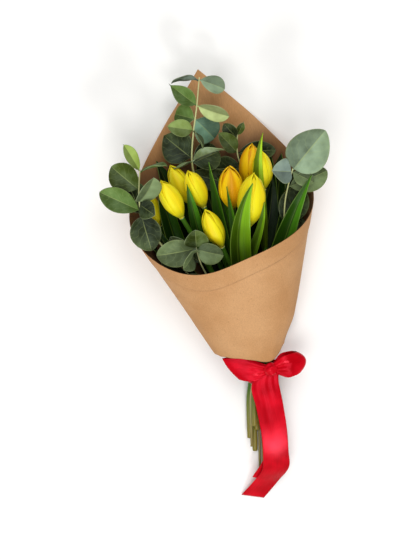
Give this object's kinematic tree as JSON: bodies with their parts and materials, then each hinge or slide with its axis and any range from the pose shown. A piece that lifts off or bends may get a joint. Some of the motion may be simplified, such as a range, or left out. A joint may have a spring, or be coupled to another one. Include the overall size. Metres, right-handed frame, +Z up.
{
  "type": "bunch of tulips",
  "caption": "Bunch of closed tulips with eucalyptus sprigs in a rolled brown paper cone, tied with a long satin ribbon, lying on its back.",
  "frame": {"origin": "on the flat strip along the paper's back, 200 mm from the point where the cone's sides would meet", "axes": "+Y from the cut stems to the flowers, +Z up from the surface the bunch lies on, +X to the right as seen from above with the flowers ahead"},
  "size_m": [0.2614, 0.5426, 0.1374],
  "materials": {
    "yellow_petal": "fresh petal, satin",
    "orange_petal": "fresh petal, satin",
    "tulip_green": "fresh leaf, waxy",
    "eucalyptus_green": "fresh leaf, powdery",
    "brown_paper": "plain brown wrapping paper",
    "red_satin": "satin",
    "rubber": "matt"
  },
  "bodies": {
    "root": {"tulip_1_bloom": "yellow_petal", "tulip_1_stem": "tulip_green", "tulip_2_bloom": "yellow_petal", "tulip_2_stem": "tulip_green", "tulip_3_bloom": "yellow_petal", "tulip_3_stem": "tulip_green", "tulip_4_bloom": "yellow_petal", "tulip_4_stem": "tulip_green", "tulip_5_bloom": "orange_petal", "tulip_5_stem": "tulip_green", "tulip_6_bloom": "orange_petal", "tulip_6_stem": "tulip_green", "tulip_7_bloom": "yellow_petal", "tulip_7_stem": "tulip_green", "tulip_8_bloom": "yellow_petal", "tulip_8_stem": "tulip_green", "tulip_9_bloom": "yellow_petal", "tulip_9_stem": "tulip_green", "eucalyptus_tall": "eucalyptus_green", "eucalyptus_left": "eucalyptus_green", "eucalyptus_low": "eucalyptus_green", "eucalyptus_right": "eucalyptus_green", "eucalyptus_back": "eucalyptus_green", "paper_wrap": "brown_paper", "ribbon": "red_satin", "rubber_band": "rubber"}
  },
  "joints": []
}
